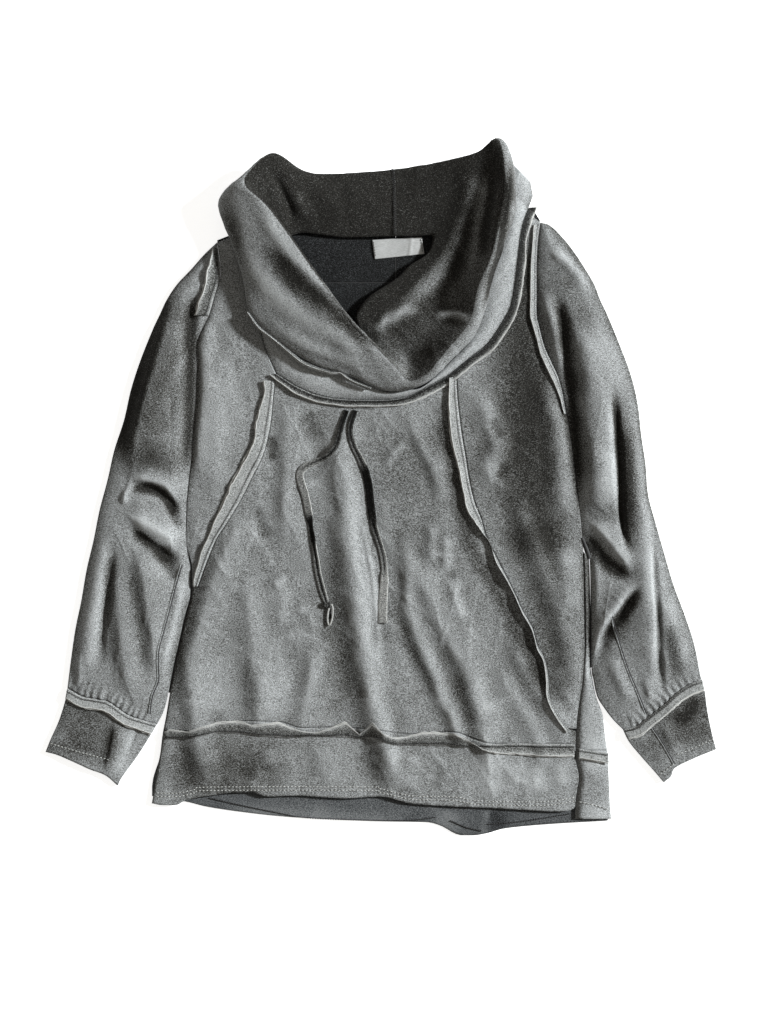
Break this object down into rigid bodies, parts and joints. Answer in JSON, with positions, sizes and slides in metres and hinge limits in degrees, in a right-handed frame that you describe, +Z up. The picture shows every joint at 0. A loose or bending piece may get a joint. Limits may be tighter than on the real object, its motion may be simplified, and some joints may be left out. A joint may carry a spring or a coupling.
{
  "type": "cowl neck sweatshirt",
  "caption": "Oversized cowl neck sweatshirt laid flat, with raw-edged outside seams, gathered cuffs, a deep hem band and a neck drawstring.",
  "frame": {"origin": "centre of the flat garment's outline, on the surface it lies on", "axes": "+Z up out of the front, +Y from the hem to the neck, +X to the wearer's left"},
  "size_m": [0.77, 0.7944, 0.0436],
  "materials": {
    "fleece": "pigment-washed heathered grey sweatshirt knit",
    "fleece_inside": "darker charcoal inside of the same knit",
    "raw_edge": "raw cut seam allowance with a pale frayed edge",
    "tape": "flat self-fabric drawstring tape, dark on its reverse",
    "label_satin": "plain woven satin neck label, silvery white"
  },
  "bodies": {
    "root": {"front_centre": "fleece", "front_side_left": "fleece", "front_side_right": "fleece", "hem_band_front": "fleece", "back": "fleece_inside", "hem_band_back": "fleece_inside", "back_yoke_left": "fleece_inside", "back_yoke_right": "fleece_inside", "label": "label_satin", "sleeve_left": "fleece", "cuff_left": "fleece", "cuff_strip_left": "raw_edge", "sleeve_right": "fleece", "cuff_right": "fleece", "cuff_strip_right": "raw_edge", "collar_band": "fleece", "cowl": "fleece", "neck_strip": "raw_edge", "princess_strip_left": "raw_edge", "princess_strip_right": "raw_edge", "armhole_strip_left": "raw_edge", "armhole_strip_right": "raw_edge", "hem_strip_front": "raw_edge", "drawstring_left": "tape", "drawstring_right": "tape"}
  },
  "joints": []
}
